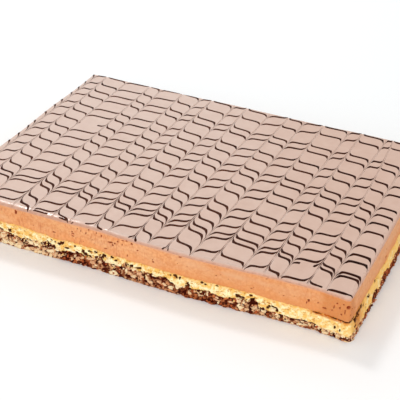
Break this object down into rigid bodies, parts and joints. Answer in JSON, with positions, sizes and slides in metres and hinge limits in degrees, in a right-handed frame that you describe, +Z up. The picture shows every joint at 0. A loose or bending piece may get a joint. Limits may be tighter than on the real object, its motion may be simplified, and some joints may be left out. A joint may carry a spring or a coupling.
{
  "type": "trianon cake",
  "caption": "Rectangular layer cake with crunchy praline base, sponge and chocolate mousse, under a milk chocolate glaze with dark feathered lines.",
  "frame": {"origin": "centre of the flat underside, in the middle of the bounding box, on the surface the cake stands on", "axes": "+X along the long front edge to the right, +Y from the front to the back, +Z up through the layers"},
  "size_m": [0.416, 0.3054, 0.0445],
  "materials": {
    "crunch": "craggy, dark chocolate praline with pale wafer flakes",
    "sponge": "matte, pale yellow open crumb",
    "mousse": "smooth cut milk chocolate mousse, slightly moist",
    "glaze": "satin milk chocolate glaze",
    "dark_lines": "satin dark chocolate, combed thin"
  },
  "bodies": {
    "root": {"crunch_base": "crunch", "sponge_layer": "sponge", "mousse_layer": "mousse", "glaze_top": "glaze"}
  },
  "joints": []
}
